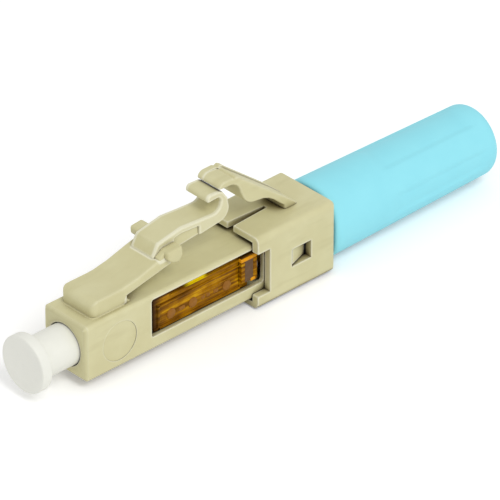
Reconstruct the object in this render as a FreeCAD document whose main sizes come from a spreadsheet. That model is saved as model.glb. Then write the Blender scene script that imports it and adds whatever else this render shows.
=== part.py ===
# LC-type fibre connector for fitting in the field: a square latching plug, a splice holder seen
# through its side windows, a rear housing with a trigger lever, a long boot and a dust cap.
#
# Millimetres. X runs along the fibre from the plug's front face (x = 0) back to the boot, Z is up
# on the latch side and the fibre lies on y = 0, z = 0.

import FreeCAD, Part
import math
import operator
import os
import types

import Sketcher

Vector = FreeCAD.Vector
SIGNS = {"+": operator.add, "-": operator.sub, "*": operator.mul, "/": operator.truediv}


class Size:
    """A length that knows its number and the spreadsheet expression it comes from."""

    def __init__(self, number, text):
        self.number = number
        self.text = text

    def __add__(self, other):
        return combine(self, "+", other)

    def __radd__(self, other):
        return combine(other, "+", self)

    def __sub__(self, other):
        return combine(self, "-", other)

    def __rsub__(self, other):
        return combine(other, "-", self)

    def __mul__(self, other):
        return combine(self, "*", other)

    def __rmul__(self, other):
        return combine(other, "*", self)

    def __truediv__(self, other):
        return combine(self, "/", other)

    def __neg__(self):
        return combine(0, "-", self)


def as_size(value):
    return value if isinstance(value, Size) else Size(float(value), repr(float(value)))


def combine(left, sign, right):
    left, right = as_size(left), as_size(right)
    number = SIGNS[sign](left.number, right.number)
    return Size(number, f"({left.text} {sign} {right.text})")


# ---------------------------------------------------------------- driving sizes

DRIVING_SIZES = [
    # the square plug that enters an adapter
    ("noseWidth", 4.5, "plug nose, side to side"),
    ("noseHeight", 4.6, "plug nose, bottom to top"),
    ("noseCorner", 0.3, "rounding of the nose's long edges"),
    ("frameLength", 21.15, "plug frame, nose face to the end of its tail"),
    ("sleeveBore", 3.4, "round opening that takes the adapter's sleeve"),
    ("sleeveDepth", 5.0, "depth of that opening"),
    ("throatBore", 2.4, "hole the ferrule's barrel passes through"),
    ("chamberFront", 6.3, "front wall of the splice chamber"),
    ("chamberWidth", 3.7, "splice chamber, side to side"),
    ("chamberFloor", -1.85, "bottom of the splice chamber"),
    ("chamberTop", 1.95, "ceiling of the splice chamber"),
    ("windowRear", 17.2, "rear edge of the side windows"),
    ("windowSill", -1.2, "lower edge of the side windows"),
    ("moldMark", 3.2, "round ejector mark on the nose's sides"),
    # the latch
    ("latchWidth", 3.4, "latch root and ramp"),
    ("armWidth", 2.4, "latch arm and trigger lever"),
    ("earSpan", 4.2, "across the two latch ears"),
    ("rootFront", 1.2, "front of the latch root"),
    ("rootTop", 3.64, "top of the latch root"),
    ("latchHingeX", 4.45, "where the latch bends, along the fibre"),
    ("latchHingeZ", 2.98, "where the latch bends, height"),
    ("hingeSlit", 0.03, "slit that parts a bending arm from its root"),
    # the rear housing and its lever
    ("housingFront", 16.0, "front of the rear housing"),
    ("housingRear", 23.7, "rear face of the rear housing"),
    ("housingWidth", 5.86, "rear housing, side to side"),
    ("housingTop", 3.13, "top of the rear housing"),
    ("housingBottom", -2.87, "bottom of the rear housing"),
    ("housingWall", 0.6, "side wall of the rear housing"),
    ("housingCorner", 0.48, "rounding of the housing's long edges"),
    ("leverHingeX", 20.2, "where the trigger lever bends, along the fibre"),
    ("leverHingeZ", 3.45, "where the trigger lever bends, height"),
    ("snapFront", 19.35, "front edge of the snap windows"),
    # the boot
    ("bootLength", 17.06, "boot"),
    ("bootRadius", 3.1, "boot beside the housing"),
    ("bootEndRadius", 2.84, "boot before its rounded end"),
    ("bootRise", 0.1, "the boot's outside sits this much above the fibre"),
    ("cableBore", 3.2, "cable entry in the end of the boot"),
    # inside, on the fibre
    ("ferruleDiameter", 1.249, "ceramic ferrule"),
    ("ferruleLength", 6.6, "ceramic ferrule"),
    ("ferruleFront", -1.9, "ferrule tip, ahead of the nose face"),
    ("fibreDiameter", 0.125, "glass fibre"),
    ("spliceLength", 6.6, "splice element"),
    ("spliceFront", 8.6, "front of the splice element"),
    ("springWire", 0.28, "spring wire"),
    # the dust cap
    ("capFront", -3.92, "front of the dust cap"),
    ("capRadius", 2.24, "dust cap's flange"),
    ("capNeckRadius", 1.62, "dust cap's neck"),
]

doc = FreeCAD.newDocument("FibreConnector")
sheet = doc.addObject("Spreadsheet::Sheet", "sizes")
s = types.SimpleNamespace()
for row, (name, number, note) in enumerate(DRIVING_SIZES, start=1):
    sheet.set(f"A{row}", note)
    sheet.set(f"B{row}", str(number))
    sheet.setAlias(f"B{row}", name)
    setattr(s, name, Size(number, f"sizes.{name}"))
doc.recompute()


# ---------------------------------------------------------------- building tools

def bind(target, path, size):
    target.setExpression(path, as_size(size).text)


def origin_feature(body, role):
    return next(item for item in body.Origin.OriginFeatures if item.Role == role)


def new_body(name, station=0):
    """A sub-part whose own origin stands on the fibre, station millimetres behind the nose."""
    body = doc.addObject("PartDesign::Body", name)
    body.Label = name
    body.Placement = FreeCAD.Placement()
    bind(body, "Placement.Base.x", station)
    return body


def new_sketch(body, plane, name, offset=0, rise=0):
    sketch = body.newObject("Sketcher::SketchObject", name)
    sketch.AttachmentSupport = (origin_feature(body, f"{plane}_Plane"), [""])
    sketch.MapMode = "FlatFace"
    bind(sketch, "AttachmentOffset.Base.z", offset)
    bind(sketch, "AttachmentOffset.Base.y", rise)
    return sketch


def arc_between(start, end, radius):
    """Arc that turns left for a positive radius and right for a negative one."""
    chord = math.dist(start, end)
    reach = math.sqrt(radius * radius - chord * chord / 4) * math.copysign(1, radius)
    middle = [(a + b) / 2 for a, b in zip(start, end)]
    centre = (middle[0] - (end[1] - start[1]) / chord * reach,
              middle[1] + (end[0] - start[0]) / chord * reach)
    first, last = (start, end) if radius > 0 else (end, start)
    angles = [math.atan2(point[1] - centre[1], point[0] - centre[0]) for point in (first, last)]
    circle = Part.Circle(Vector(*centre, 0), Vector(0, 0, 1), abs(radius))
    return Part.ArcOfCircle(circle, *angles)


def outline(sketch, corners):
    """Closed outline through corners (across, up) or (across, up, radius of the edge that follows).

    Every corner is tied to the sketch's origin and every arc to its radius, all by expression.
    """
    corners = [tuple(as_size(value) for value in corner) for corner in corners]
    base = sketch.GeometryCount
    count = len(corners)
    leaving, arriving, radii = [], [], []
    for index, corner in enumerate(corners):
        start = [value.number for value in corner[:2]]
        end = [value.number for value in corners[(index + 1) % count][:2]]
        swapped = len(corner) == 3 and corner[2].number < 0
        if len(corner) == 3:
            sketch.addGeometry(arc_between(start, end, corner[2].number), False)
            radii.append((base + index, -corner[2] if swapped else corner[2]))
        else:
            sketch.addGeometry(Part.LineSegment(Vector(*start, 0), Vector(*end, 0)), False)
        leaving.append((base + index, 2 if swapped else 1))
        arriving.append((base + index, 1 if swapped else 2))
    for index in range(count):
        meeting = (*arriving[index - 1], *leaving[index])
        sketch.addConstraint(Sketcher.Constraint("Coincident", *meeting))
    for index, corner in enumerate(corners):
        for kind, value in zip(("DistanceX", "DistanceY"), corner):
            tie(sketch, Sketcher.Constraint(kind, -1, 1, *leaving[index], value.number), value)
    for edge, radius in radii:
        tie(sketch, Sketcher.Constraint("Radius", edge, radius.number), radius)


def rounded_rim(centre, height, radius, first, last, steps):
    """Corners of a rounded rim, along an arc of radius about (centre, height), in degrees."""
    turns = [math.radians(first + (last - first) * step / steps) for step in range(steps + 1)]
    return [(centre + radius * math.cos(angle), height + radius * math.sin(angle))
            for angle in turns]


def tie(sketch, constraint, size):
    number = sketch.addConstraint(constraint)
    bind(sketch, f"Constraints[{number}]", size)


def disc(sketch, diameter, across=0, up=0):
    across, up, radius = as_size(across), as_size(up), as_size(diameter) / 2
    edge = sketch.GeometryCount
    centre = Vector(across.number, up.number, 0)
    sketch.addGeometry(Part.Circle(centre, Vector(0, 0, 1), radius.number), False)
    tie(sketch, Sketcher.Constraint("DistanceX", -1, 1, edge, 3, across.number), across)
    tie(sketch, Sketcher.Constraint("DistanceY", -1, 1, edge, 3, up.number), up)
    tie(sketch, Sketcher.Constraint("Radius", edge, radius.number), radius)


def box(sketch, left, right, low, high, radius=0):
    """Upright rectangle with its corners rounded where radius is given."""
    if as_size(radius).number == 0:
        outline(sketch, [(left, low), (right, low), (right, high), (left, high)])
        return
    outline(sketch, [
        (left + radius, low), (right - radius, low, radius),
        (right, low + radius), (right, high - radius, radius),
        (right - radius, high), (left + radius, high, radius),
        (left, high - radius), (left, low + radius, radius),
    ])


def extrude(body, kind, sketch, length, name, symmetric=False, backwards=False):
    feature = body.newObject(f"PartDesign::{kind}", name)
    feature.Profile = sketch
    feature.SideType = "Symmetric" if symmetric else "One side"
    feature.Reversed = backwards
    bind(feature, "Length", length)
    return feature


def pad(body, sketch, length, name, **choices):
    return extrude(body, "Pad", sketch, length, name, **choices)


def pocket(body, sketch, length, name, forwards=True, symmetric=False):
    """Cut towards the sketch's normal, or against it; the body must lose material."""
    before = solid_volume(body)
    feature = extrude(body, "Pocket", sketch, length, name,
                      symmetric=symmetric, backwards=forwards and not symmetric)
    return check_cut(body, feature, before)


def turn(body, kind, sketch, name, angle=360, symmetric=False):
    before = solid_volume(body) if kind == "Groove" else 0
    feature = body.newObject(f"PartDesign::{kind}", name)
    feature.Profile = sketch
    feature.ReferenceAxis = (sketch, ["H_Axis"])
    feature.Midplane = symmetric
    feature.Angle = angle
    return check_cut(body, feature, before) if kind == "Groove" else feature


def repeat(body, kind, feature, name, **settings):
    """Mirror or pattern a feature and make the result the body's tip."""
    before = solid_volume(body)
    copies = body.newObject(f"PartDesign::{kind}", name)
    copies.Originals = [feature]
    for key, value in settings.items():
        setattr(copies, key, value)
    body.Tip = copies
    doc.recompute()
    if abs(solid_volume(body) - before) < 1e-6:
        raise RuntimeError(f"{name} repeats nothing")
    return copies


def mirror_sides(body, feature, name):
    plane = (origin_feature(body, "XZ_Plane"), [""])
    return repeat(body, "Mirrored", feature, name, MirrorPlane=plane)


def solid_volume(body):
    doc.recompute()
    return body.Shape.Volume


def check_cut(body, feature, before):
    if before - solid_volume(body) < 1e-6:
        raise RuntimeError(f"{feature.Name} cuts nothing")
    return feature


def dress(body, kind, size, chosen, name):
    """Fillet or chamfer the edges of the body's tip for which chosen(edge) is true."""
    doc.recompute()
    tip = body.Tip
    edges = [f"Edge{number}" for number, edge in enumerate(tip.Shape.Edges, start=1) if chosen(edge)]
    if not edges:
        raise RuntimeError(f"{name} finds no edge")
    feature = body.newObject(f"PartDesign::{kind}", name)
    feature.Base = (tip, edges)
    bind(feature, "Radius" if kind == "Fillet" else "Size", size)
    doc.recompute()
    return feature


def spans(edge, axis):
    """How far the edge reaches along X, Y or Z."""
    return getattr(edge.BoundBox, f"{axis}Length")


def lies_at(edge, axis, place, slack=0.02):
    low, high = getattr(edge.BoundBox, f"{axis}Min"), getattr(edge.BoundBox, f"{axis}Max")
    return abs(low - place) < slack and abs(high - place) < slack


# ---------------------------------------------------------------- plug frame

def build_plug_frame():
    body = new_body("plug_frame")
    half_width, half_height = s.noseWidth / 2, s.noseHeight / 2

    shell = new_sketch(body, "YZ", "frame_section")
    box(shell, -half_width, half_width, -half_height, half_height, s.noseCorner)
    pad(body, shell, s.frameLength, "frame_shell")

    opening = new_sketch(body, "YZ", "sleeve_section")
    disc(opening, s.sleeveBore)
    pocket(body, opening, s.sleeveDepth, "sleeve_opening")
    throat = new_sketch(body, "YZ", "throat_section")
    disc(throat, s.throatBore)
    pocket(body, throat, s.chamberFront + 0.1, "throat")

    chamber = new_sketch(body, "YZ", "chamber_section", offset=s.chamberFront)
    box(chamber, -s.chamberWidth / 2, s.chamberWidth / 2, s.chamberFloor, s.chamberTop)
    pocket(body, chamber, s.frameLength - s.chamberFront, "splice_chamber")

    window = new_sketch(body, "XZ", "window_outline")
    box(window, s.chamberFront, s.windowRear, s.windowSill, s.chamberTop, as_size(0.2))
    pocket(body, window, s.noseWidth + 1, "side_windows", symmetric=True)

    mark = new_sketch(body, "XZ", "mold_mark_outline", offset=half_width)
    disc(mark, s.moldMark, across=3.26, up=-0.1)
    near_mark = pocket(body, mark, 0.05, "mold_mark", forwards=False)
    mirror_sides(body, near_mark, "mold_marks")

    root = new_sketch(body, "XZ", "latch_root_outline")
    root_rear = s.latchHingeX - s.hingeSlit
    outline(root, [
        (s.rootFront, half_height - 0.1), (root_rear, half_height - 0.1),
        (root_rear, s.rootTop + 0.06), (4.1, s.rootTop),
        (s.rootFront + 0.62, s.rootTop, 0.62), (s.rootFront, s.rootTop - 0.62),
    ])
    pad(body, root, s.latchWidth, "latch_root", symmetric=True)

    wedge = new_sketch(body, "XY", "snap_wedge_outline", offset=-0.5)
    wedge_front = s.snapFront + 0.1
    outline(wedge, [
        (wedge_front, half_width - 0.1), (wedge_front + 1.5, half_width - 0.1),
        (wedge_front + 1.5, half_width + 0.1), (wedge_front, half_width + 0.6),
    ])
    far_wedge = pad(body, wedge, 1.3, "snap_wedge")
    mirror_sides(body, far_wedge, "snap_wedges")

    dress(body, "Chamfer", 0.25, lambda edge: lies_at(edge, "X", 0)
          and not is_round_hole(edge), "front_edges")
    dress(body, "Fillet", 0.4, lambda edge: lies_at(edge, "X", s.rootFront.number)
          and spans(edge, "Z") > 0.3, "root_corners")
    return body


# ---------------------------------------------------------------- latch

def build_latch_arm():
    body = new_body("latch_arm")
    hinge_x, hinge_z = s.latchHingeX, s.latchHingeZ

    ramp = new_sketch(body, "XZ", "ramp_outline")
    outline(ramp, [
        (hinge_x, hinge_z), (5.61, 3.22), (7.51, 3.6), (8.7, 3.85), (8.7, 4.66), (7.3, 4.38),
        (5.6, 3.9), (hinge_x, s.rootTop + 0.07),
    ])
    pad(body, ramp, s.latchWidth, "ramp", symmetric=True)

    arm = new_sketch(body, "XZ", "arm_outline")
    outline(arm, [
        (7.3, 3.62), (8.92, 3.96), (10.22, 4.36), (12.2, 4.55), (13.86, 4.74, 1.0),
        (14.8, 5.75), (14.3, 6.95, 0.55), (13.9, 7.25), (13.1, 7.3, 0.34), (12.8, 6.8),
        (13.65, 6.86, -0.42), (14.02, 6.25, -0.75), (13.2, 5.65), (11.83, 5.73), (10.2, 5.85),
        (7.93, 5.43), (7.45, 4.57),
    ])
    pad(body, arm, s.armWidth, "arm_and_curl", symmetric=True)

    ears = new_sketch(body, "XZ", "ear_outline")
    outline(ears, [(8.2, 4.62), (8.87, 4.46), (9.42, 4.91), (9.31, 5.4), (8.05, 5.18)])
    pad(body, ears, s.earSpan, "ears", symmetric=True)

    relief = new_sketch(body, "XZ", "relief_outline", offset=s.armWidth / 2)
    outline(relief, [(9.1, 3.6), (11.9, 4.2), (11.9, 5.42), (10.2, 5.6), (9.1, 5.4)])
    near_relief = pocket(body, relief, 0.18, "side_relief", forwards=False)
    mirror_sides(body, near_relief, "side_reliefs")

    dress(body, "Fillet", 0.15, lambda edge: spans(edge, "Y") < 0.01
          and abs(abs(edge.BoundBox.YMin) - s.earSpan.number / 2) < 0.01, "ear_edges")
    return body


# ---------------------------------------------------------------- rear housing and trigger lever

# each half of the lever: its side, its height at the hinge, and where its root ends
LEVER_HALVES = (("near", 0.76, 21.6), ("far", 1.1, 22.0))


def build_rear_housing():
    body = new_body("rear_housing")
    half_width = s.housingWidth / 2
    inside = half_width - s.housingWall
    length = s.housingRear - s.housingFront

    shell = new_sketch(body, "YZ", "housing_section", offset=s.housingFront)
    box(shell, -half_width, half_width, s.housingBottom, s.housingTop, s.housingCorner)
    pad(body, shell, length, "housing_shell")

    cavity = new_sketch(body, "YZ", "cavity_section", offset=s.housingFront)
    box(cavity, -inside, inside, s.housingBottom + 0.47, s.housingTop - 0.5)
    pocket(body, cavity, length - 1.8, "cavity")
    stem_hole = new_sketch(body, "YZ", "stem_hole_section", offset=s.housingFront)
    disc(stem_hole, 4.24)
    pocket(body, stem_hole, length, "stem_hole")

    openings = new_sketch(body, "XZ", "side_opening_outlines")
    notch_rear = s.housingFront + 1.2
    box(openings, s.housingFront - 0.1, notch_rear, -1.8, 1.85)
    box(openings, s.snapFront, s.snapFront + 1.92, -0.62, 0.85)
    pocket(body, openings, s.housingWidth + 1, "notches_and_snap_windows", symmetric=True)

    slot = new_sketch(body, "XY", "slot_outline", offset=2)
    outline(slot, [
        (s.housingFront - 0.1, -0.32), (19.45, -0.14), (19.45, 0.14), (s.housingFront - 0.1, 0.32),
    ])
    pocket(body, slot, 2, "top_slot")

    root_front = s.leverHingeX + s.hingeSlit
    for side, top, rear in LEVER_HALVES:
        root = new_sketch(body, "XZ", f"lever_root_{side}_outline")
        outline(root, [
            (root_front + 0.3, s.housingTop - 0.1), (rear, s.housingTop - 0.1),
            (rear, s.housingTop), (root_front + top * 0.05, s.leverHingeZ + top - 0.03),
            (root_front, s.leverHingeZ),
        ])
        pad(body, root, s.armWidth / 2, f"lever_root_{side}", backwards=side == "far")

    dress(body, "Chamfer", 0.2, lambda edge: lies_at(edge, "X", s.housingRear.number)
          and edge.BoundBox.DiagonalLength > 0.5 and not is_round_hole(edge), "rear_edges")
    return body


def is_round_hole(edge):
    return hasattr(edge.Curve, "Radius") and edge.Curve.Radius > 1


def build_trigger_lever():
    """Bar with a blunt nose; its far half stands a step higher than its near half."""
    body = new_body("trigger_lever")
    crests = {
        "near": [(15.6, 7.82, 0.6), (15.2, 7.95), (14.45, 7.95, 0.6)],
        "far": [(16.42, 7.6, 0.7), (15.9, 7.93), (15.6, 7.95), (15.45, 7.85), (14.5, 7.95, 0.6)],
    }
    for side, top, _ in LEVER_HALVES:
        lever = new_sketch(body, "XZ", f"lever_{side}_outline")
        outline(lever, [
            (s.leverHingeX, s.leverHingeZ), (s.leverHingeX + top * 0.05, s.leverHingeZ + top),
            *crests[side], (13.92, 7.66), (13.86, 7.46),
            (14.88, 7.4, -1.16), (15.93, 6.38), (16.18, 5.84, 1.36), (17.45, 5.02, -2.8),
            (19.24, 4.36),
        ])
        pad(body, lever, s.armWidth / 2, f"lever_{side}_half", backwards=side == "far")
    return body


# ---------------------------------------------------------------- boot

def build_boot():
    body = new_body("boot", station=s.housingRear + 0.04)
    length, radius, end_radius = s.bootLength, s.bootRadius, s.bootEndRadius

    skin = new_sketch(body, "XZ", "boot_profile", rise=s.bootRise)
    outline(skin, [
        (0, 0), (length, 0), *rounded_rim(length - 0.75, end_radius - 0.75, 0.75, 0, 87, 3),
        *rounded_rim(as_size(0.55), radius - 0.55, 0.55, 92, 150, 1), (0, radius - 0.42),
    ])
    turn(body, "Revolution", skin, "boot_body")

    bore = new_sketch(body, "XZ", "boot_bore_profile")
    cable_radius = s.cableBore / 2
    outline(bore, [
        (-0.5, 0), (length + 0.5, 0), (length + 0.5, cable_radius + 0.75),
        (length - 0.25, cable_radius), (12.3, cable_radius), (12.1, 2.36), (-0.5, 2.36),
    ])
    turn(body, "Groove", bore, "cable_passage")

    grips = (("XZ", 70, {"rise": s.bootRise}), ("XY", 34, {"offset": s.bootRise}))
    for plane, angle, place in grips:
        grip = new_sketch(body, plane, f"grip_profile_{plane}", **place)
        outline(grip, [
            (5.85, radius - 0.16), (length - 1.45, end_radius - 0.07),
            (length - 1.45, end_radius + 0.5), (5.85, radius + 0.5),
        ])
        cut = turn(body, "Groove", grip, f"grip_{plane}", angle=angle, symmetric=True)
        repeat(body, "PolarPattern", cut, f"grip_pair_{plane}", Axis=(grip, ["H_Axis"]),
               Angle=360, Occurrences=2)
    return body


# ---------------------------------------------------------------- rear fittings

def build_backbone():
    """Seat of the float spring, and the barbed stem that carries the boot."""
    body = new_body("backbone", station=s.frameLength)
    profile = new_sketch(body, "XZ", "backbone_profile")
    stem, barb = 2.1, 2.26
    barbs = []
    for front in (7.9, 5.9):
        barbs += [(front, stem), (front - 0.02, barb), (front - 0.9, stem)]
    outline(profile, [
        (-1.5, 1.3), (0.4, 1.3), (0.4, 0.9), (4.0, 0.9), (4.0, 1.6), (10.0, 1.6), (10.0, stem),
        *barbs, (0.75, stem), (0.75, 2.2), (0, 2.2), (0, 1.7), (-1.5, 1.7),
    ])
    turn(body, "Revolution", profile, "backbone_turned")
    return body


def build_cable_collet():
    """Split sleeve that the boot squeezes on to the cable."""
    body = new_body("cable_collet", station=s.frameLength + 10)
    profile = new_sketch(body, "XZ", "collet_profile")
    outline(profile, [(0, 1.6), (3.45, 1.6), (3.45, 1.82), (2.05, 2.05), (0, 2.05)])
    turn(body, "Revolution", profile, "collet_sleeve")
    slot = new_sketch(body, "XZ", "collet_slot_outline")
    box(slot, 0.9, 4, -0.22, 0.22)
    cut = pocket(body, slot, 6, "collet_slot", symmetric=True)
    axis = (origin_feature(body, "X_Axis"), [""])
    repeat(body, "PolarPattern", cut, "collet_slots", Axis=axis, Angle=90, Occurrences=2)
    return body


# ---------------------------------------------------------------- fibre, ferrule and splice

def build_ferrule():
    body = new_body("ferrule", station=s.ferruleFront)
    radius, hole = s.ferruleDiameter / 2, s.fibreDiameter / 2 + 0.003
    profile = new_sketch(body, "XZ", "ferrule_profile")
    outline(profile, [
        (0, hole), (s.ferruleLength, hole), (s.ferruleLength, radius - 0.1),
        (s.ferruleLength - 0.1, radius), (0.45, radius), (0.03, radius - 0.2),
    ])
    turn(body, "Revolution", profile, "ferrule_ground")
    return body


def build_fibre_stub():
    body = new_body("fibre_stub", station=s.ferruleFront)
    section = new_sketch(body, "YZ", "fibre_section")
    disc(section, s.fibreDiameter)
    pad(body, section, s.spliceFront + 3.2 - s.ferruleFront, "fibre")
    return body


def build_splice_holder():
    """Amber carriage that floats in the plug frame with the ferrule on its front."""
    body = new_body("splice_holder")
    rear = 16.6

    turned = new_sketch(body, "XZ", "barrel_profile")
    outline(turned, [
        (3.0, 0), (19.3, 0), (19.3, 1.15), (7.0, 1.15), (7.0, 1.55), (6.34, 1.55),
        (6.34, 1.1), (3.0, 1.1),
    ])
    turn(body, "Revolution", turned, "barrels_and_collar")

    block = new_sketch(body, "XZ", "block_outline")
    box(block, 7.45, 16.0, -1.65, 0.95)
    pad(body, block, 3.5, "block", symmetric=True)
    head = new_sketch(body, "XZ", "head_outline")
    box(head, 15.1, rear, -0.6, 1.6)
    pad(body, head, 4.3, "head", symmetric=True)

    trough = new_sketch(body, "XZ", "trough_outline")
    box(trough, s.spliceFront - 0.1, s.spliceFront + s.spliceLength - 0.1, -1.21, 1.2)
    pocket(body, trough, 2.6, "trough", symmetric=True)

    panel = new_sketch(body, "XZ", "panel_outline", offset=1.75)
    box(panel, 7.75, 15.0, -1.4, 0.7)
    for place in (8.63, 10.71, 14.14):
        disc(panel, 0.86, across=place, up=-0.35)
    for place in (9.74, 11.75):
        box(panel, as_size(place - 0.14), as_size(place + 0.14), -0.55, -0.15)
    box(panel, 12.42, 13.5, -0.6, -0.1)
    near_panel = pocket(body, panel, 0.12, "side_panel", forwards=False)
    mirror_sides(body, near_panel, "side_panels")

    bores = new_sketch(body, "XZ", "bore_profile")
    ferrule_rear = s.ferruleFront + s.ferruleLength
    outline(bores, [
        (2.9, 0), (19.4, 0), (19.4, 0.76), (17.0, 0.76), (17.0, 0.3), (ferrule_rear, 0.3),
        (ferrule_rear, s.ferruleDiameter / 2), (2.9, s.ferruleDiameter / 2),
    ])
    turn(body, "Groove", bores, "fibre_passage")
    return body


def build_splice_base():
    body = new_body("splice_base", station=s.spliceFront)
    section = new_sketch(body, "YZ", "base_section")
    outline(section, [
        (-1.05, -1.06), (1.05, -1.06), (1.05, 0.03), (0.09, 0.03), (0, -0.13), (-0.09, 0.03),
        (-1.05, 0.03),
    ])
    pad(body, section, s.spliceLength - 0.2, "grooved_base")
    return body


def build_splice_lid(name, station, length):
    body = new_body(name, station=station)
    section = new_sketch(body, "YZ", f"{name}_section")
    outline(section, [
        (-1.05, 0.065), (1.05, 0.065), (1.05, 0.66), (0.95, 0.76), (-0.95, 0.76), (-1.05, 0.66),
    ])
    pad(body, section, length, f"{name}_bar")
    return body


def build_splice_clip():
    """Spring-steel channel that presses the lids on the base; a slit lets each half work alone."""
    body = new_body("splice_clip", station=s.spliceFront + 0.3)
    section = new_sketch(body, "YZ", "clip_section")
    outline(section, [
        (-1.22, -1.21), (1.15, -1.21), (1.15, -1.06), (-1.07, -1.06), (-1.07, 0.76), (1.15, 0.76),
        (1.15, 0.91), (-1.22, 0.91),
    ])
    pad(body, section, 5.8, "clip_channel")
    slit = new_sketch(body, "XY", "clip_slit_outline")
    box(slit, 2.85, 3.0, -0.9, 1.3)
    pocket(body, slit, 1, "clip_slit")
    return body


def build_crimp_tube():
    """Thin tube in the holder's rear barrel that is crimped on the fibre's buffer."""
    body = new_body("crimp_tube", station=17.0)
    profile = new_sketch(body, "XZ", "crimp_tube_profile")
    outline(profile, [(0, 0.48), (3.9, 0.48), (4.0, 0.6), (4.0, 0.75), (0, 0.75)])
    turn(body, "Revolution", profile, "crimp_tube_drawn")
    return body


def build_float_spring():
    """Coil spring between the holder's head and the backbone."""
    body = new_body("float_spring", station=16.62)
    section = new_sketch(body, "XZ", "wire_section")
    corner_reach = s.springWire * 0.55
    corners = []
    for side in range(5):
        angle = math.radians(72 * side + 18)
        corners.append((s.springWire / 2 + 0.02 + corner_reach * math.cos(angle),
                        1.45 + corner_reach * math.sin(angle)))
    outline(section, corners)
    coil = body.newObject("PartDesign::AdditiveHelix", "coil")
    coil.Profile = section
    coil.ReferenceAxis = (section, ["H_Axis"])
    coil.Mode = "pitch-height-angle"
    bind(coil, "Pitch", 0.89)
    bind(coil, "Height", 2.67)
    return body


# ---------------------------------------------------------------- dust cap

def build_dust_cap():
    body = new_body("dust_cap", station=s.capFront)
    profile = new_sketch(body, "XZ", "cap_profile")
    neck, flange, bore, end = s.capNeckRadius, s.capRadius, 0.65, 2.5 - s.capFront
    outline(profile, [
        (0, 0), (1.75, 0), (1.75, bore), (end, bore), (end, neck),
        *reversed(rounded_rim(as_size(1.2), neck + 0.3, 0.3, 180, 270, 2)),
        (0.9, flange - 0.08), (0.82, flange),
        (0.08, flange), (0, flange - 0.08),
    ])
    turn(body, "Revolution", profile, "cap_molded")
    return body


# ---------------------------------------------------------------- assembly

split = s.spliceFront + 3.25
parts = [
    build_plug_frame(),
    build_latch_arm(),
    build_rear_housing(),
    build_trigger_lever(),
    build_boot(),
    build_backbone(),
    build_cable_collet(),
    build_ferrule(),
    build_fibre_stub(),
    build_splice_holder(),
    build_splice_base(),
    build_splice_lid("splice_lid_front", s.spliceFront, 3.2),
    build_splice_lid("splice_lid_rear", split, 3.1),
    build_splice_clip(),
    build_crimp_tube(),
    build_float_spring(),
    build_dust_cap(),
]
doc.recompute()

for item in doc.Objects:
    if "Invalid" in item.State or "Error" in item.State:
        raise RuntimeError(f"{item.Name} did not compute: {item.State}")
os.makedirs("parts", exist_ok=True)
for part in parts:
    shape = part.Shape
    if shape.isNull() or not shape.isValid() or len(shape.Solids) != 1:
        raise RuntimeError(f"{part.Label} is not one valid solid")
    shape.exportStep(f"parts/{part.Label}.step")
    size = shape.BoundBox
    print(f"{part.Label:18} {shape.Volume:9.3f} mm3  x {size.XMin:7.2f} {size.XMax:7.2f}"
          f"  y {size.YMin:6.2f} {size.YMax:6.2f}  z {size.ZMin:6.2f} {size.ZMax:6.2f}")
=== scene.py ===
import math

import bmesh
import bpy
from mathutils import Matrix, Vector


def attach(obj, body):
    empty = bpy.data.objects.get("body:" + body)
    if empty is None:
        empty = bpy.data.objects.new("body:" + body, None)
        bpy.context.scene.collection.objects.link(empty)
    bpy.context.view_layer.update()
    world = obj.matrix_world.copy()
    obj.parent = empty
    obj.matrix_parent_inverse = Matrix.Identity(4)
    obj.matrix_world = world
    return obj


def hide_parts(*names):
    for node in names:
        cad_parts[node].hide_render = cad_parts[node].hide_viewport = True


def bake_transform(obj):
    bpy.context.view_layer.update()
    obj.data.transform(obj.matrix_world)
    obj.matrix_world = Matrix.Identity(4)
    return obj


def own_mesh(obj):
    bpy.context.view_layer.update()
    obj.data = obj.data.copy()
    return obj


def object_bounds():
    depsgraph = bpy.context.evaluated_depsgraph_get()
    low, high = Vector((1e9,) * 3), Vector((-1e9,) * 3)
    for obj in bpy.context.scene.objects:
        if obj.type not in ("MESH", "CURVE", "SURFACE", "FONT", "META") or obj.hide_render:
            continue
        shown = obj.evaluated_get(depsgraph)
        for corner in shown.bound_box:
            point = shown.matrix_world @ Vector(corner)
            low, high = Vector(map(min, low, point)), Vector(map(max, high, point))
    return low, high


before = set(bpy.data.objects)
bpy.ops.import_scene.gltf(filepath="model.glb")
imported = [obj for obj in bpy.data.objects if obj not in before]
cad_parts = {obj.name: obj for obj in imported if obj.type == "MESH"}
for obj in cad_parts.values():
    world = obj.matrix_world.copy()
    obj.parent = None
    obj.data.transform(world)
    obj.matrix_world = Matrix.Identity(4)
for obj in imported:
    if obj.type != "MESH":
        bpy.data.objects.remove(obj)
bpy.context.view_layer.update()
mm = 0.001  # pieces are drawn in millimetres and then scaled by this

print("frame loaded")


class Link:  # one output in a material's node tree, which can stand in a sum
    def __init__(self, tree, socket=None):
        self.tree = tree
        self.socket = socket

    def node(self, kind, settings=None, inputs=None, out=0):
        added = self.tree.nodes.new("ShaderNode" + kind)
        for key, value in (settings or {}).items():
            if key == "stops":
                setStops(added.color_ramp, value)
            else:
                setattr(added, key, value)
        for key, value in (inputs or {}).items():
            if isinstance(value, Link):
                self.tree.links.new(value.socket, added.inputs[key])
            else:
                added.inputs[key].default_value = value
        return Link(self.tree, added.outputs[out] if len(added.outputs) else None)

    def sum(self, operation, first, second=0.0):
        return self.node("Math", {"operation": operation}, {0: first, 1: second})

    def __add__(self, other):
        return self.sum("ADD", self, other)

    def __radd__(self, other):
        return self.sum("ADD", other, self)

    def __sub__(self, other):
        return self.sum("SUBTRACT", self, other)

    def __rsub__(self, other):
        return self.sum("SUBTRACT", other, self)

    def __mul__(self, other):
        return self.sum("MULTIPLY", self, other)

    def __rmul__(self, other):
        return self.sum("MULTIPLY", other, self)


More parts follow.
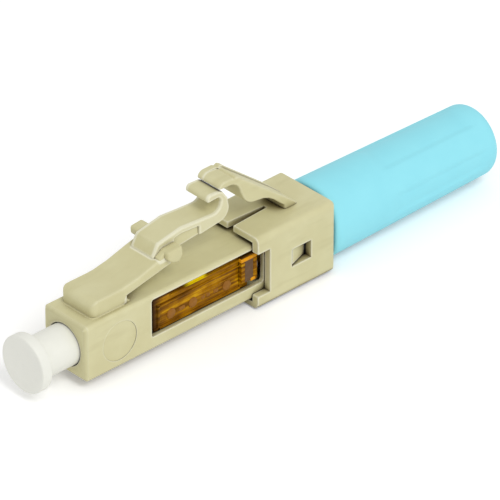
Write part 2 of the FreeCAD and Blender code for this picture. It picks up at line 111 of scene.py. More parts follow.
def setStops(ramp, stops):
    while len(ramp.elements) < len(stops):
        ramp.elements.new(1.0)
    for element, (place, shade) in zip(ramp.elements, stops):
        element.position = place
        element.color = shade


def tint(red, green, blue):  # a screen colour, 0 to 255, as the linear one that sockets take
    def linear(level):
        level /= 255
        return level / 12.92 if level <= 0.04045 else ((level + 0.055) / 1.055) ** 2.4
    return (linear(red), linear(green), linear(blue), 1.0)


def newFinish(name):  # an empty material, and each point's place in millimetres
    finish = bpy.data.materials.new(name)
    finish.use_nodes = True
    finish.node_tree.nodes.clear()
    tools = Link(finish.node_tree)
    metres = tools.node("TexCoord", out="Object")
    place = tools.node("VectorMath", {"operation": "SCALE"}, {0: metres, "Scale": 1 / mm})
    return finish, tools, place


def mixShades(tools, share, first, second):
    return tools.node("Mix", {"data_type": "RGBA"}, {0: share, 6: first, 7: second}, out=2)


def stretched(tools, place, x, y, z):  # the same place, with the grain drawn out along an axis
    return tools.node("VectorMath", {"operation": "MULTIPLY"}, {0: place, 1: (x, y, z)})


def grain(tools, place, scale, detail=3.0, roughness=0.55):
    return tools.node("TexNoise", None, {"Vector": place, "Scale": scale, "Detail": detail,
                                         "Roughness": roughness})


def between(tools, value, low, high):  # 0 below low, 1 above high, eased in between
    return tools.node("MapRange", {"interpolation_type": "SMOOTHSTEP"}, {0: value, 1: low, 2: high})


def bumps(tools, height, depth, radius):  # fine relief over softened edges
    soft = tools.node("Bevel", {"samples": 6}, {"Radius": radius * mm})
    return tools.node("Bump", None, {"Height": height, "Strength": depth, "Distance": 0.01 * mm,
                                     "Normal": soft})


def closeness(tools, reach):  # 1 in the open, 0 deep in a gap
    return tools.node("AmbientOcclusion", {"samples": 8}, {"Distance": reach * mm}, out="AO")


def edgeShare(tools, reach):  # 0 on faces, up to 1 along their edges
    within = tools.node("AmbientOcclusion", {"samples": 8, "inside": True, "only_local": True},
                        {"Distance": reach * mm}, out="AO")
    return 1 - between(tools, within, 0.5, 0.96)


# finishes of the outside

# the darker colours below paint shade into creases and gaps, and the palest one paints a highlight
# along edges
beige = {"shade": tint(208, 202, 157), "pale": tint(214, 209, 166), "dull": tint(200, 193, 147),
         "creviceShade": tint(118, 101, 56), "gap": tint(26, 21, 9), "paintedEdgeLight": tint(242, 240, 218),
         "roughness": 0.52, "edge": 0.09, "edgeLightShare": 0.7, "edgeLightReach": 0.2, "shadeReach": 1.1,
         "gapReach": 0.8, "shadowLineReach": 0.4, "shadowLineLeast": 0.38}


def beigePlastic(name, edgeLightShare):  # clouded and faintly streaked, with a painted highlight along edges and painted shade in creases and gaps
    finish, tools, place = newFinish(name)
    cloud = grain(tools, place, 0.35)
    base = mixShades(tools, between(tools, cloud, 0.35, 0.7), beige["shade"], beige["pale"])
    flow = grain(tools, stretched(tools, place, 0.4, 2.2, 2.2), 0.6, detail=2.0)
    base = mixShades(tools, between(tools, flow, 0.5, 0.8) * 0.6, base, beige["dull"])
    # painted highlight: edges made paler, standing in for light caught on their rounding
    if edgeLightShare:
        paintedEdgeLight = edgeShare(tools, beige["edgeLightReach"]) * edgeLightShare
        base = mixShades(tools, paintedEdgeLight, base, beige["paintedEdgeLight"])
    # painted shade: darker towards creases and under parts, where little light reaches
    near = closeness(tools, beige["shadeReach"])
    base = mixShades(tools, between(tools, near, 0.15, 0.85), beige["creviceShade"], base)
    # painted shadow: near black deep in narrow gaps
    tight = closeness(tools, beige["gapReach"])
    base = mixShades(tools, between(tools, tight, 0.1, 0.52), beige["gap"], base)
    # painted shadow line: a thin dark line along tight gaps
    line = between(tools, closeness(tools, beige["shadowLineReach"]), 0.3, 0.66)
    least = beige["shadowLineLeast"]
    base = mixShades(tools, least + (1 - least) * line, beige["gap"], base)
    fine = grain(tools, place, 9.0, detail=4.0)
    rough = beige["roughness"] + 0.14 * (cloud - 0.5)
    shader = tools.node("BsdfPrincipled", None, {
        "Base Color": base, "Roughness": rough, "IOR": 1.5, "Specular IOR Level": 0.3,
        "Normal": bumps(tools, fine, 0.25, beige["edge"]),
    })
    tools.node("OutputMaterial", None, {"Surface": shader})
    return finish


aqua = {"shade": tint(152, 231, 243), "deep": tint(142, 224, 238), "gap": tint(96, 176, 190),
        "edge": 0.1}


def aquaRubber():
    finish, tools, place = newFinish("aquaRubber")
    cloud = grain(tools, place, 0.5, detail=2.0)
    base = mixShades(tools, cloud, aqua["deep"], aqua["shade"])
    # painted shade: the rubber darker in gaps and creases
    near = closeness(tools, 0.8)
    base = mixShades(tools, between(tools, near, 0.1, 0.8), aqua["gap"], base)
    fine = grain(tools, place, 12.0, detail=3.0)
    shader = tools.node("BsdfPrincipled", None, {
        "Base Color": base, "Roughness": 0.6 + 0.1 * (cloud - 0.5), "IOR": 1.48,
        "Normal": bumps(tools, fine, 0.2, aqua["edge"]),
    })
    tools.node("OutputMaterial", None, {"Surface": shader})
    return finish


white = {"shade": tint(240, 240, 231), "deep": tint(232, 232, 222), "gap": tint(178, 176, 164),
         "edge": 0.08}


def capWhite():
    finish, tools, place = newFinish("capWhite")
    cloud = grain(tools, place, 0.8)
    base = mixShades(tools, cloud, white["deep"], white["shade"])
    # painted shade: the cap darker in gaps and creases
    near = closeness(tools, 0.8)
    base = mixShades(tools, between(tools, near, 0.1, 0.8), white["gap"], base)
    fine = grain(tools, place, 10.0)
    shader = tools.node("BsdfPrincipled", None, {
        "Base Color": base, "Roughness": 0.5 + 0.1 * (cloud - 0.5), "IOR": 1.5,
        "Normal": bumps(tools, fine, 0.15, white["edge"]),
    })
    tools.node("OutputMaterial", None, {"Surface": shader})
    return finish


amber = {"dark": tint(58, 32, 0), "brown": tint(122, 76, 0), "gold": tint(172, 118, 0),
         "line": tint(218, 168, 20), "gap": tint(44, 22, 2), "topHighlight": tint(255, 226, 10),
         "topHighlightFrom": 9.6, "topHighlightTo": 12.1, "topHighlightHeight": 1.47, "edge": 0.05}


def amberPlastic():  # clear amber: painted streaks of light and shade along it, painted shade towards its ends and top, and a painted highlight near its top
    finish, tools, place = newFinish("amberPlastic")
    along = tools.node("SeparateXYZ", None, {0: place}, out=0)
    height = tools.node("SeparateXYZ", None, {0: place}, out=2)
    streak = grain(tools, stretched(tools, place, 0.14, 0.6, 3.2), 1.0, detail=5.0, roughness=0.65)
    cloud = grain(tools, place, 0.8, detail=3.0)
    # painted light and shade: streaks from dark to gold stand in for light passing through the
    # clear plastic
    base = tools.node("ValToRGB", {"stops": [(0.3, amber["dark"]), (0.44, amber["brown"]),
                                             (0.58, amber["gold"]), (0.7, amber["line"])]},
                      {0: streak + 0.35 * (cloud - 0.5)})
    # painted shade: darker towards the front end and the top
    base = mixShades(tools, between(tools, along, 6.7, 7.9), amber["dark"], base)
    base = mixShades(tools, between(tools, height, 1.3, 1.6) * 0.85, base, amber["dark"])
    # painted highlight: a narrow yellow band near the top, standing in for light caught along the
    # top edge
    first, last, middle = (amber[key] for key in ("topHighlightFrom", "topHighlightTo", "topHighlightHeight"))
    glow = between(tools, along, first, first + 0.9) \
        * (1 - between(tools, along, last - 0.5, last)) \
        * between(tools, height, middle - 0.14, middle - 0.06) \
        * (1 - between(tools, height, middle + 0.06, middle + 0.12))
    base = mixShades(tools, glow, base, amber["topHighlight"])
    # painted shade: darker in tight gaps
    tight = closeness(tools, 0.35)
    base = mixShades(tools, between(tools, tight, 0.1, 0.7), amber["gap"], base)
    shader = tools.node("BsdfPrincipled", None, {
        "Base Color": base, "Roughness": 0.24 + 0.12 * cloud, "IOR": 1.5,
        "Specular IOR Level": 0.06, "Normal": bumps(tools, streak, 0.35, amber["edge"]),
    })
    tools.node("OutputMaterial", None, {"Surface": shader})
    return finish


def amberMark(name, shade, deep):  # the small marks, and the clouded tab at the back
    finish, tools, place = newFinish(name)
    cloud = grain(tools, place, 2.2, detail=3.0)
    base = mixShades(tools, cloud, deep, shade)
    shader = tools.node("BsdfPrincipled", None, {
        "Base Color": base, "Roughness": 0.24 + 0.15 * cloud, "IOR": 1.5,
        "Specular IOR Level": 0.15, "Normal": bumps(tools, cloud, 0.3, 0.04),
    })
    tools.node("OutputMaterial", None, {"Surface": shader})
    return finish


beigeFinish = beigePlastic("beigePlastic", beige["edgeLightShare"])
footFinish = beigePlastic("beigeFoot", 0)
aquaFinish = aquaRubber()
capFinish = capWhite()
amberFinish = amberPlastic()
markFinish = amberMark("amberDisc", tint(160, 108, 38), tint(132, 82, 16))
tabFinish = amberMark("amberTab", tint(118, 90, 62), tint(84, 58, 34))
# painted highlight: orange and yellow paint the lit rims of the clear tab
rimHighlightFinish = amberMark("amberRimHighlight", tint(246, 184, 22), tint(206, 116, 4))

print("finishes made")


# shaping

def newPiece(name, shape, *finishes, crease=34):
    mesh = bpy.data.meshes.new(name)
    shape.transform(Matrix.Scale(mm, 4))
    shape.to_mesh(mesh)
    shape.free()
    for finish in finishes:
        mesh.materials.append(finish)
    mesh.shade_smooth()
    mesh.set_sharp_from_angle(angle=math.radians(crease))
    piece = bpy.data.objects.new(name, mesh)
    bpy.context.scene.collection.objects.link(piece)
    weighted = piece.modifiers.new("flatFacesFirst", "WEIGHTED_NORMAL")
    weighted.keep_sharp = True
    weighted.weight = 80
    return piece


def nodeShape(node, dropAbove=None):  # a node's own shape in millimetres, cut flat at a height
    shape = bmesh.new()
    shape.from_mesh(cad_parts[node].data)
    shape.transform(Matrix.Scale(1 / mm, 4))
    bmesh.ops.remove_doubles(shape, verts=shape.verts, dist=0.002)
    if dropAbove is not None:
        high = [face for face in shape.faces if face.calc_center_median().z > dropAbove + 0.01]
        bmesh.ops.delete(shape, geom=high, context="FACES")
        bmesh.ops.holes_fill(shape, edges=[edge for edge in shape.edges if edge.is_boundary])
    bmesh.ops.dissolve_limit(shape, angle_limit=math.radians(1.5), verts=shape.verts,
                             edges=shape.edges)
    return shape


def traced(corners, step=0.25):  # (x, z) corners, with an arc after each (x, z, radius)
    points = []
    for index, corner in enumerate(corners):
        start = Vector(corner[:2])
        points.append(start)
        if len(corner) < 3:
            continue
        end = Vector(corners[(index + 1) % len(corners)][:2])
        radius, chord = corner[2], end - start
        reach = math.sqrt(max(radius * radius - chord.length_squared / 4, 0))
        centre = (start + end) / 2 + Vector((-chord.y, chord.x)).normalized() \
            * math.copysign(reach, radius)
        sweep = 2 * math.asin(min(chord.length / 2 / abs(radius), 1)) * math.copysign(1, radius)
        count = max(2, round(abs(sweep) / step))
        points += [centre + Matrix.Rotation(sweep * turn / count, 2) @ (start - centre)
                   for turn in range(1, count)]
    return points


def rounded(points, radius, steps=3, least=0.35):  # the same outline with its corners rounded
    result = []
    for index, spot in enumerate(points):
        back = points[index - 1] - spot
        ahead = points[(index + 1) % len(points)] - spot
        turn = math.pi - back.angle(ahead)
        if turn < least:
            result.append(spot)
            continue
        reach = min(radius * math.tan(turn / 2), 0.45 * back.length, 0.45 * ahead.length)
        start, end = spot + back.normalized() * reach, spot + ahead.normalized() * reach
        for stop in range(steps + 1):
            share = stop / steps
            result.append(start.lerp(spot, share).lerp(spot.lerp(end, share), share))
    return result


def shrunk(points, depth):  # each point moved inward, square to the outline
    area = sum(points[i - 1].x * points[i].y - points[i].x * points[i - 1].y
               for i in range(len(points)))
    result = []
    for index, spot in enumerate(points):
        back = (spot - points[index - 1]).normalized()
        ahead = (points[(index + 1) % len(points)] - spot).normalized()
        across = Vector((-back.y, back.x)) * math.copysign(1, area)
        inward = Vector((-(back + ahead).y, (back + ahead).x)).normalized() * math.copysign(1, area)
        result.append(spot + inward * depth / max(0.6, inward.dot(across)))
    for again in range(12):  # edges that turned over close up
        for index in range(len(points)):
            if (result[index] - result[index - 1]).dot(points[index] - points[index - 1]) < 0:
                result[index] = (result[index] + result[index - 1]) / 2
                result[index - 1] = result[index].copy()
    return result


def addRings(shape, rings, caps=True, finish=0):  # closed rings of points joined into a skin
    skin = bmesh.new()
    loops = [[skin.verts.new(point) for point in ring] for ring in rings]
    for first, second in zip(loops, loops[1:]):
        for index in range(len(first)):
            skin.faces.new((first[index - 1], first[index], second[index], second[index - 1]))
    if caps:
        skin.faces.new(loops[0])
        skin.faces.new(loops[-1])
    bmesh.ops.remove_doubles(skin, verts=skin.verts, dist=0.0005)
    bmesh.ops.recalc_face_normals(skin, faces=skin.faces)
    for face in skin.faces:
        face.material_index = finish
    mesh = bpy.data.meshes.new("skin")
    skin.to_mesh(mesh)
    skin.free()
    shape.from_mesh(mesh)
    bpy.data.meshes.remove(mesh)


def addPlate(shape, points, low, high, softLow=0.0, softHigh=0.0, steps=3, finish=0):
    rings = []
    for side, edge, soft in ((-1, low, softLow), (1, high, softHigh)):
        turns = [math.pi / 2 * step / steps for step in range(steps + 1)] if soft else [0]
        stack = [(edge - side * soft * (1 - math.sin(turn)), soft * (1 - math.cos(turn)))
                 for turn in turns]
        rings += stack if side > 0 else stack[::-1]
    addRings(shape, [[(spot.x, across, spot.y) for spot in shrunk(points, depth)]
                     for across, depth in rings], finish=finish)


def addBar(shape, left, right, low, high, inner, outer, soft=0.05, finish=0):  # on both sides
    corners = [Vector(spot) for spot in ((left, low), (right, low), (right, high), (left, high))]
    points = rounded(corners, soft)
    addPlate(shape, points, inner, outer, 0, soft, 2, finish)
    addPlate(shape, points, -outer, -inner, soft, 0, 2, finish)


def addDisc(shape, x, z, radius, inner, outer, soft=0.04, finish=0):  # on both sides
    points = [Vector((x + radius * math.cos(turn * math.tau / 40),
                      z + radius * math.sin(turn * math.tau / 40))) for turn in range(40)]
    addPlate(shape, points, inner, outer, 0, soft, 2, finish)
    addPlate(shape, points, -outer, -inner, soft, 0, 2, finish)


def turned(profile, segments=96, rise=0.0, radiusAt=None):  # (x, radius) points spun about X
    shape = bmesh.new()
    rings = []
    for x, radius in profile:
        ring = []
        for index in range(segments):
            angle = 2 * math.pi * index / segments
            reach = radiusAt(x, radius, angle) if radiusAt else radius
            lift = rise if radius > 1.7 else 0  # a bore keeps to the fibre's line
            ring.append((x, reach * math.cos(angle), lift + reach * math.sin(angle)))
        rings.append(ring)
    addRings(shape, rings, caps=False)
    return shape


def bend(x, height, radius, first, last, steps=6):  # part of a circle, in degrees
    turns = [math.radians(first + (last - first) * step / steps) for step in range(steps + 1)]
    return [(x + radius * math.cos(turn), height + radius * math.sin(turn)) for turn in turns]


def hold(piece, node, body=None):  # a piece stands for a node and goes with its body
    if body:
        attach(piece, body)
    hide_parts(node)
    return piece


# the two moulded shells

shells = {"plugTop": 2.3, "rearTop": 3.13}  # the roots above these belong to latch and lever


def buildShells():
    for name, node, top in (("plugShell", "plug_frame", shells["plugTop"]),
                            ("rearShell", "rear_housing", shells["rearTop"])):
        piece = newPiece(name, nodeShape(node, dropAbove=top), beigeFinish)
        hold(piece, node, "connector")


# latch: a rounded root on the plug, a ramp, and a narrower arm that curls over at its end

latch = {"rootFront": 1.2, "rootBack": 4.42, "rootHalf": 1.7, "rootTop": 3.64, "planRound": 0.45,
         "frontRound": 0.62, "edgeRound": 0.14, "frameTop": 2.3, "flare": 0.1, "armHalf": 1.2,
         "relief": 0.18, "armRound": 0.1, "earHalf": 2.1, "earRound": 0.16, "shoulderHalf": 1.68,
         "shoulderRound": 0.12, "bendFrom": 4.3, "bendTo": 5.5, "bendHeight": 3.0}


def level(table, x):  # a height read from (x, height) pairs
    for (x0, z0), (x1, z1) in zip(table, table[1:]):
        if x <= x1:
            return z0 + (z1 - z0) * (x - x0) / (x1 - x0)
    return table[-1][1]


def rootSection(x, half, bottom, top, radius):
    radius = min(radius, 0.48 * (top - bottom), 0.48 * half)
    points = []
    for side, height, first in ((1, bottom, -90), (1, top, 0), (-1, top, 90), (-1, bottom, 180)):
        corner = 0.05 if height == bottom else radius
        inside = height + corner * (1 if height == bottom else -1)
        for step in range(5):
            turn = math.radians(first + 90 * step / 4)
            points.append((x, side * (half - corner) + corner * math.cos(turn),
                           inside + corner * math.sin(turn)))
    return points


def addRoot(shape):
    front, plan, nose = latch["rootFront"], latch["planRound"], latch["frontRound"]
    tops = [(front, latch["rootTop"]), (4.1, latch["rootTop"]), (4.5, 3.71), (5.6, 3.9),
            (7.3, 4.38), (8.3, 4.62), (8.75, 4.66)]
    unders = [(4.43, 2.93), (7.51, 3.55), (8.75, 3.8)]
    reaches = [0, 0.01, 0.04, 0.09, 0.16, 0.25, 0.35, 0.45, 0.54, 0.62, 0.9, 1.6, 2.6, 3.0, 3.2,
               3.22, 3.24, 3.4, 3.6, 3.8, 4.0, 4.2, 4.41, 5.0, 5.6, 6.1, 6.31, 6.7, 7.1, 7.4, 7.5]
    rings = []
    for reach in reaches:
        x = front + reach
        short = max(plan - reach, 0)
        half = latch["rootHalf"] - plan + math.sqrt(plan * plan - short * short)
        low = max(nose - reach, 0)
        top = level(tops, x) - nose + math.sqrt(nose * nose - low * low)
        bottom = latch["frameTop"] - 0.06 if x < latch["rootBack"] + 0.01 else level(unders, x)
        rings.append(rootSection(x, half, bottom, top, latch["edgeRound"] if reach > 0.3 else
                                 latch["edgeRound"] * (0.4 + 2 * reach)))
    addRings(shape, rings)


def addFlare(shape):  # the soft foot where the root stands on the plug
    front, half, back = latch["rootFront"], latch["rootHalf"], latch["rootBack"]
    foot = rounded([Vector((back, -half)), Vector((front, -half)), Vector((front, half)),
                    Vector((back, half))], latch["planRound"], steps=6)
    rings = []
    for step in range(6):
        turn = math.pi / 2 * step / 5
        out = -latch["flare"] * (1 - math.sin(turn)) + 0.004
        height = latch["frameTop"] - 0.004 + latch["flare"] * (1 - math.cos(turn))
        rings.append([(spot.x if spot.x < back - 0.1 else back, spot.y, height)
                      for spot in shrunk(foot, out)])
    addRings(shape, rings, caps=False, finish=1)


def buildLatch():
    shape = bmesh.new()
    addRoot(shape)
    addFlare(shape)
    half, deep = latch["armHalf"], latch["relief"]
    curl = [(12.2, 4.55), (13.86, 4.74, 1.0), (14.8, 5.75), (14.66, 6.5), (14.2, 7.16),
            (13.9, 7.3), (13.1, 7.35, 0.34), (12.8, 6.8), (13.65, 6.86, -0.42),
            (14.02, 6.25, -0.75), (13.2, 5.65), (11.83, 5.73)]
    start, end = [(7.3, 3.62), (8.92, 3.96)], [(10.2, 5.85), (7.93, 5.43), (7.45, 4.57)]
    arm = [*start, (10.22, 4.36), *curl, *end]
    rim = [*start, (9.5, 4.14), (9.5, 5.28), (10.2, 5.4), (11.9, 5.28), (11.9, 4.53), *curl, *end]
    nearEar = [(8.1, 4.4), (8.55, 4.0), (9.15, 3.88), (9.52, 4.3), (9.46, 5.1), (8.1, 5.02)]
    farEar = [(8.2, 4.85), (8.8, 4.45), (9.1, 4.35), (9.45, 4.75), (9.3, 5.54), (8.15, 5.44)]
    arm, rim, nearEar, farEar = (rounded(traced(corners), size) for corners, size in
                                 ((arm, 0.16), (rim, 0.13), (nearEar, 0.16), (farEar, 0.2)))
    addPlate(shape, arm, deep - half, half - deep)
    addPlate(shape, rim, half - deep, half, softHigh=latch["armRound"])
    addPlate(shape, rim, -half, deep - half, softLow=latch["armRound"])
    ears = latch["earHalf"]
    addPlate(shape, nearEar, -ears, deep - half, softLow=latch["earRound"], finish=1)
    addPlate(shape, farEar, half - deep, ears, softHigh=latch["earRound"], finish=1)
    heel = traced([(4.3, 2.24), (4.95, 2.24), (4.62, 2.52), (4.42, 2.74), (4.3, 2.74)])
    heelHalf = latch["rootHalf"] - 0.03
    addPlate(shape, heel, -heelHalf, heelHalf, finish=1)
    shoulder = traced([(7.55, 4.2), (8.7, 4.2), (8.7, 5.0), (8.2, 5.0), (7.6, 4.56)])
    addPlate(shape, shoulder, -latch["shoulderHalf"], deep - half,
             softLow=latch["shoulderRound"], finish=1)
    piece = newPiece("latchSpring", shape, beigeFinish, footFinish)
    hold(piece, "latch_arm")
    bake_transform(piece)


# trigger lever: a bar with a blunt nose, its far side a step higher

lever = {"low": -1.22, "step": 0.62, "high": 1.22, "round": 0.12, "cornerRound": 0.18,
         "bendFrom": (20.75, 0, 3.35), "bendTo": (19.75, 0, 4.0)}


def buildLever():
    shape = bmesh.new()
    under = [(13.92, 7.66), (13.86, 7.42), (14.88, 7.4, -1.16), (15.93, 6.38),
             (16.18, 5.84, 1.36), (17.45, 5.02, -2.8), (19.24, 4.36), (20.2, 3.45), (20.22, 3.05)]
    near = [(21.7, 3.05), (20.25, 4.23), (15.85, 7.66, 0.5), (15.5, 7.86), (15.36, 7.74),
            (15.2, 7.9), (14.45, 7.93, 0.6), *under]
    far = [(21.75, 3.05), (20.27, 4.34), (16.1, 7.64, 0.7), (15.62, 7.95), (15.44, 7.8),
           (15.26, 7.95), (14.5, 7.95, 0.6), *under]
    near, far = (rounded(traced(corners), lever["cornerRound"]) for corners in (near, far))
    addPlate(shape, near, lever["low"], lever["step"] + 0.02, softLow=lever["round"])
    addPlate(shape, far, lever["step"], lever["high"], 0.03, lever["round"])
    piece = newPiece("triggerSpring", shape, beigeFinish)
    hold(piece, "trigger_lever")
    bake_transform(piece)


buildShells()
buildLatch()
buildLever()

print("shells, latch and lever made")


# boot: a soft tapered sleeve with four shallow grip panels

boot = {"front": 23.74, "length": 17.06, "radius": 3.1, "endRadius": 2.84, "rise": 0.1,
        "shoulder": 0.55, "rim": 0.75, "bore": 1.6, "inside": 2.36, "gripStart": 5.85,
        "gripEnd": 15.6, "gripDepth": 0.13}


def gripped(x, radius, angle):  # the radius there, less where a grip panel lies
    if radius < 2.6:
        return radius
    along = x - boot["front"]
    ends = ease((along - boot["gripStart"]) / 0.7) * ease((boot["gripEnd"] - along) / 0.5)
    depth = 0.0
    for centre, half in ((90, 35), (270, 35), (0, 17), (180, 17)):
        apart = abs((math.degrees(angle) - centre + 180) % 360 - 180)
        depth = max(depth, ease((half - apart) / 5))
    return radius - boot["gripDepth"] * depth * ends


def ease(share):
    share = min(max(share, 0), 1)
    return share * share * (3 - 2 * share)


def buildBoot():
    front, end = boot["front"], boot["front"] + boot["length"]
    shoulder, rim = boot["shoulder"], boot["rim"]
    outside = [(front, boot["radius"] - shoulder + 0.12),
               *bend(front + shoulder, boot["radius"] - shoulder, shoulder, 165, 92, 6)]
    last = end - rim + rim * math.cos(math.radians(87))
    for stop in range(1, 48):
        share = stop / 48
        x = front + shoulder + (last - front - shoulder) * share
        outside.append((x, boot["radius"] + (boot["endRadius"] - boot["radius"]) * share))
    outside += bend(end - rim, boot["endRadius"] - rim, rim, 87, 0, 10)
    bore = boot["bore"]
    inside = [(end, bore + 0.3), *bend(end - 0.26, bore + 0.26, 0.26, 0, -90, 4),
              (front + 12.3, bore), (front + 12.1, boot["inside"]), (front, boot["inside"])]
    shape = turned([*outside, *inside, outside[0]], 120, boot["rise"], gripped)
    piece = newPiece("rubberBoot", shape, aquaFinish)
    hold(piece, "boot", "strain_boot")


# dust cap: a round flange on a hollow neck

cap = {"front": -3.92, "flange": 2.24, "thick": 0.88, "edge": 0.13, "neck": 1.62, "end": 2.5,
       "bore": 0.65, "boreFront": -2.17}


def buildCap():
    front, flange, edge = cap["front"], cap["flange"], cap["edge"]
    back, neck = front + cap["thick"], cap["neck"]
    profile = [(front + 0.03, 0.01), (front + 0.03, 1.5), (front, 1.72),
               *bend(front + edge, flange - edge, edge, 180, 90, 5),
               *bend(back - edge, flange - edge, edge, 90, 0, 5),
               *bend(back + 0.3, neck + 0.3, 0.3, 180, 270, 6),
               (cap["end"] - 0.2, neck), (cap["end"], neck - 0.2), (cap["end"], cap["bore"]),
               (cap["boreFront"], cap["bore"]), (cap["boreFront"], 0.01)]
    piece = newPiece("dustPlug", turned(profile, 96), capFinish)
    hold(piece, "dust_cap", "cap")


buildBoot()
buildCap()

print("boot and cap made")


# splice carriage: amber sides with ribs, round and square marks and a tab at the back

carriage = {"side": 1.75, "face": 1.93, "front": 6.8, "back": 15.3, "low": -1.14, "high": 1.72,
            "discs": (8.5, 10.6, 13.9), "discHeight": -0.3, "discRound": 0.4, "blockHalf": 0.15,
            "blocks": ((9.55, 0.28), (11.6, 0.16), (12.1, 0.16), (12.85, 0.22))}


def buildCarriage():
    shape = nodeShape("splice_holder")
    side, face = carriage["side"] - 0.25, carriage["face"]
    front, back, low, high = (carriage[key] for key in ("front", "back", "low", "high"))
    addBar(shape, front, back, low, high, side, face - 0.1)
    addBar(shape, front + 0.35, front + 0.6, low, 1.0, side, face)
    addBar(shape, front, back, low, low + 0.2, side, face)
    addBar(shape, front + 0.35, back, 0.72, 0.9, side, face)
    addBar(shape, front + 1.6, back, 1.24, 1.4, side, face + 0.02)
    addBar(shape, 11.6, back, 0.15, 0.28, side, face - 0.04)
    addBar(shape, back - 0.2, back, low, 1.3, side, face)
    height, tall = carriage["discHeight"], carriage["blockHalf"]
    for x in carriage["discs"]:
        addDisc(shape, x, height, carriage["discRound"], side, face - 0.02, finish=1)
    for x, half in carriage["blocks"]:
        addBar(shape, x - half, x + half, height - tall, height + tall, side, face - 0.05, finish=1)
    # the clouded tab, and its rims in a painted highlight
    addBar(shape, 15.42, 16.24, -0.62, 1.2, 2.0, 2.18, finish=2)
    addBar(shape, 15.02, 16.62, 1.16, 1.48, 1.9, 2.22, 0.1, finish=3)
    addBar(shape, 16.24, 16.62, -0.72, 1.2, 1.9, 2.2, 0.08)
    addBar(shape, 15.95, 16.45, -0.72, -0.42, 1.9, 2.22, 0.08, finish=3)
    piece = newPiece("amberCarriage", shape, amberFinish, markFinish, tabFinish, rimHighlightFinish)
    hold(piece, "splice_holder", "ferrule_set")


buildCarriage()

print("carriage made")


# spring round the carriage's tail, and finishes of what is inside

spring = {"start": 16.65, "end": 19.58, "turns": 3.0, "radius": 1.45, "wire": 0.14,
          "travel": 0.43, "steps": 144, "sides": 10}


def buildSpring():
    shape = bmesh.new()
    rings = []
    for step in range(spring["steps"] + 1):
        share = step / spring["steps"]
        angle = math.tau * spring["turns"] * share
        x = spring["start"] + spring["wire"] + (spring["end"] - spring["start"]
                                                - 2 * spring["wire"]) * share
        ring = []
        for side in range(spring["sides"]):
            turn = math.tau * side / spring["sides"]
            reach = spring["radius"] + spring["wire"] * math.cos(turn)
            ring.append((x + spring["wire"] * math.sin(turn), reach * math.cos(angle),
                         reach * math.sin(angle)))
        rings.append(ring)
    addRings(shape, rings)
    piece = newPiece("coilSpring", shape, springFinish, crease=60)
    hold(piece, "float_spring", "connector")
    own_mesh(piece)


inside = {"stem": (tint(58, 60, 62), tint(70, 72, 74), 0.5, 0.0),
          "zirconia": (tint(240, 240, 236), tint(228, 228, 222), 0.22, 0.0),
          "silica": (tint(196, 214, 220), tint(214, 228, 232), 0.1, 0.0),
          "splice": (tint(206, 204, 196), tint(190, 188, 178), 0.4, 0.0),
          "steel": (tint(176, 178, 180), tint(150, 152, 156), 0.3, 1.0),
          "brass": (tint(204, 172, 104), tint(178, 142, 74), 0.3, 1.0)}


def insideFinish(name):  # a clouded shade with fine turning marks across the fibre's line
    shade, other, rough, metal = inside[name]
    finish, tools, place = newFinish(name)
    cloud = grain(tools, place, 1.5, detail=3.0)
    marks = grain(tools, stretched(tools, place, 14.0, 0.6, 0.6), 1.0, detail=2.0)
    base = mixShades(tools, cloud, shade, other)
    # painted shade: near black deep in gaps
    base = mixShades(tools, between(tools, closeness(tools, 0.5), 0.0, 0.6), tint(20, 18, 14), base)
    shader = tools.node("BsdfPrincipled", None, {
        "Base Color": base, "Roughness": rough + 0.12 * (marks - 0.5), "Metallic": metal,
        "Normal": bumps(tools, marks, 0.2, 0.03),
    })
    tools.node("OutputMaterial", None, {"Surface": shader})
    return finish


springFinish = insideFinish("steel")
insideNodes = {"stem": ("backbone", "cable_collet"), "zirconia": ("ferrule",),
               "silica": ("fibre_stub",), "brass": ("crimp_tube",), "steel": ("splice_clip",),
               "splice": ("splice_base", "splice_lid_front", "splice_lid_rear")}


def finishInside():  # the solids that stay as they are
    for name, nodes in insideNodes.items():
        finish = springFinish if name == "steel" else insideFinish(name)
        for node in nodes:
            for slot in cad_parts[node].material_slots:
                slot.material = finish


buildSpring()
finishInside()

print("spring and inside made")


# floor, lamps and camera

studio = {"world": 0.66, "key": 1.9, "keyPlace": (-0.1, -0.45, 0.55), "keySize": 0.35,
          "glow": 0.2, "floorHalf": 1.5}


def seenDirectly(tools):  # 1 for the eye, also in a reflection or through clear plastic
    eyeRay, glossy, through = (tools.node("LightPath", out=way) for way in
                               ("Is Camera Ray", "Is Glossy Ray", "Is Transmission Ray"))
    return tools.sum("MAXIMUM", tools.sum("MAXIMUM", eyeRay, glossy), through)


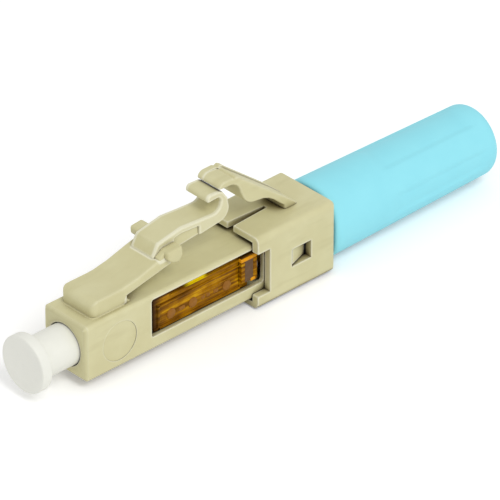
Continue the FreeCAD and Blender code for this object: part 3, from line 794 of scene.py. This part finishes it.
def buildFloor():
    height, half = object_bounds()[0].z, studio["floorHalf"]
    mesh = bpy.data.meshes.new("floor")
    mesh.from_pydata([(-half, -half, height), (half, -half, height), (half, half, height),
                      (-half, half, height)], [], [(0, 1, 2, 3)])
    floor = bpy.data.objects.new("floor", mesh)
    bpy.context.scene.collection.objects.link(floor)
    finish, tools, place = newFinish("floorPaper")
    cloud = grain(tools, place, 0.02)
    base = mixShades(tools, cloud, tint(250, 250, 250), tint(253, 253, 253))
    paper = tools.node("BsdfPrincipled", None, {"Base Color": base, "Roughness": 0.9})
    glow = tools.node("Emission", None, {"Strength": studio["glow"]})
    lit = tools.node("AddShader", None, {0: paper, 1: glow})
    shown = tools.node("MixShader", None, {0: seenDirectly(tools), 1: paper, 2: lit})
    tools.node("OutputMaterial", None, {"Surface": shown})
    mesh.materials.append(finish)


def addLamp():
    lamp = bpy.data.lights.new("keyLamp", "AREA")
    lamp.shape = "DISK"
    lamp.size = studio["keySize"]
    lamp.energy = studio["key"]
    item = bpy.data.objects.new("keyLamp", lamp)
    bpy.context.scene.collection.objects.link(item)
    item.location = studio["keyPlace"]
    aim = Vector(eye["target"]) * mm - item.location
    item.rotation_euler = aim.to_track_quat("-Z", "Y").to_euler()


def lightWorld():
    world = bpy.data.worlds.new("studio")
    bpy.context.scene.world = world
    world.use_nodes = True
    world.node_tree.nodes.clear()
    tools = Link(world.node_tree)
    light = tools.node("Background", None, {"Color": (1, 1, 1, 1), "Strength": studio["world"]})
    white = tools.node("Background", None, {"Color": (1, 1, 1, 1), "Strength": 1.0})
    shown = tools.node("MixShader", None, {0: seenDirectly(tools), 1: light, 2: white})
    tools.node("OutputWorld", None, {"Surface": shown})


eye = {"target": (20.0, 0.0, 0.0), "back": (-0.5747, -0.6156, 0.5392), "distance": 435.0,
       "lens": 431.6, "across": -1.509, "up": -0.704}


def addCamera():
    back = Vector(eye["back"]).normalized()
    right = Vector((0, 0, 1)).cross(back).normalized()
    above = back.cross(right)
    shift = right * eye["across"] + above * eye["up"]
    data = bpy.data.cameras.new("eye")
    data.lens = eye["lens"]
    data.sensor_width = 36.0
    data.clip_start = 0.01
    data.clip_end = 10.0
    camera = bpy.data.objects.new("eye", data)
    bpy.context.scene.collection.objects.link(camera)
    camera.location = (Vector(eye["target"]) + back * eye["distance"] + shift) * mm
    camera.rotation_euler = Matrix((right, above, back)).transposed().to_euler()
    bpy.context.scene.camera = camera


buildFloor()
lightWorld()
addLamp()
addCamera()
bpy.context.scene.view_settings.view_transform = "Standard"

print("stage set")
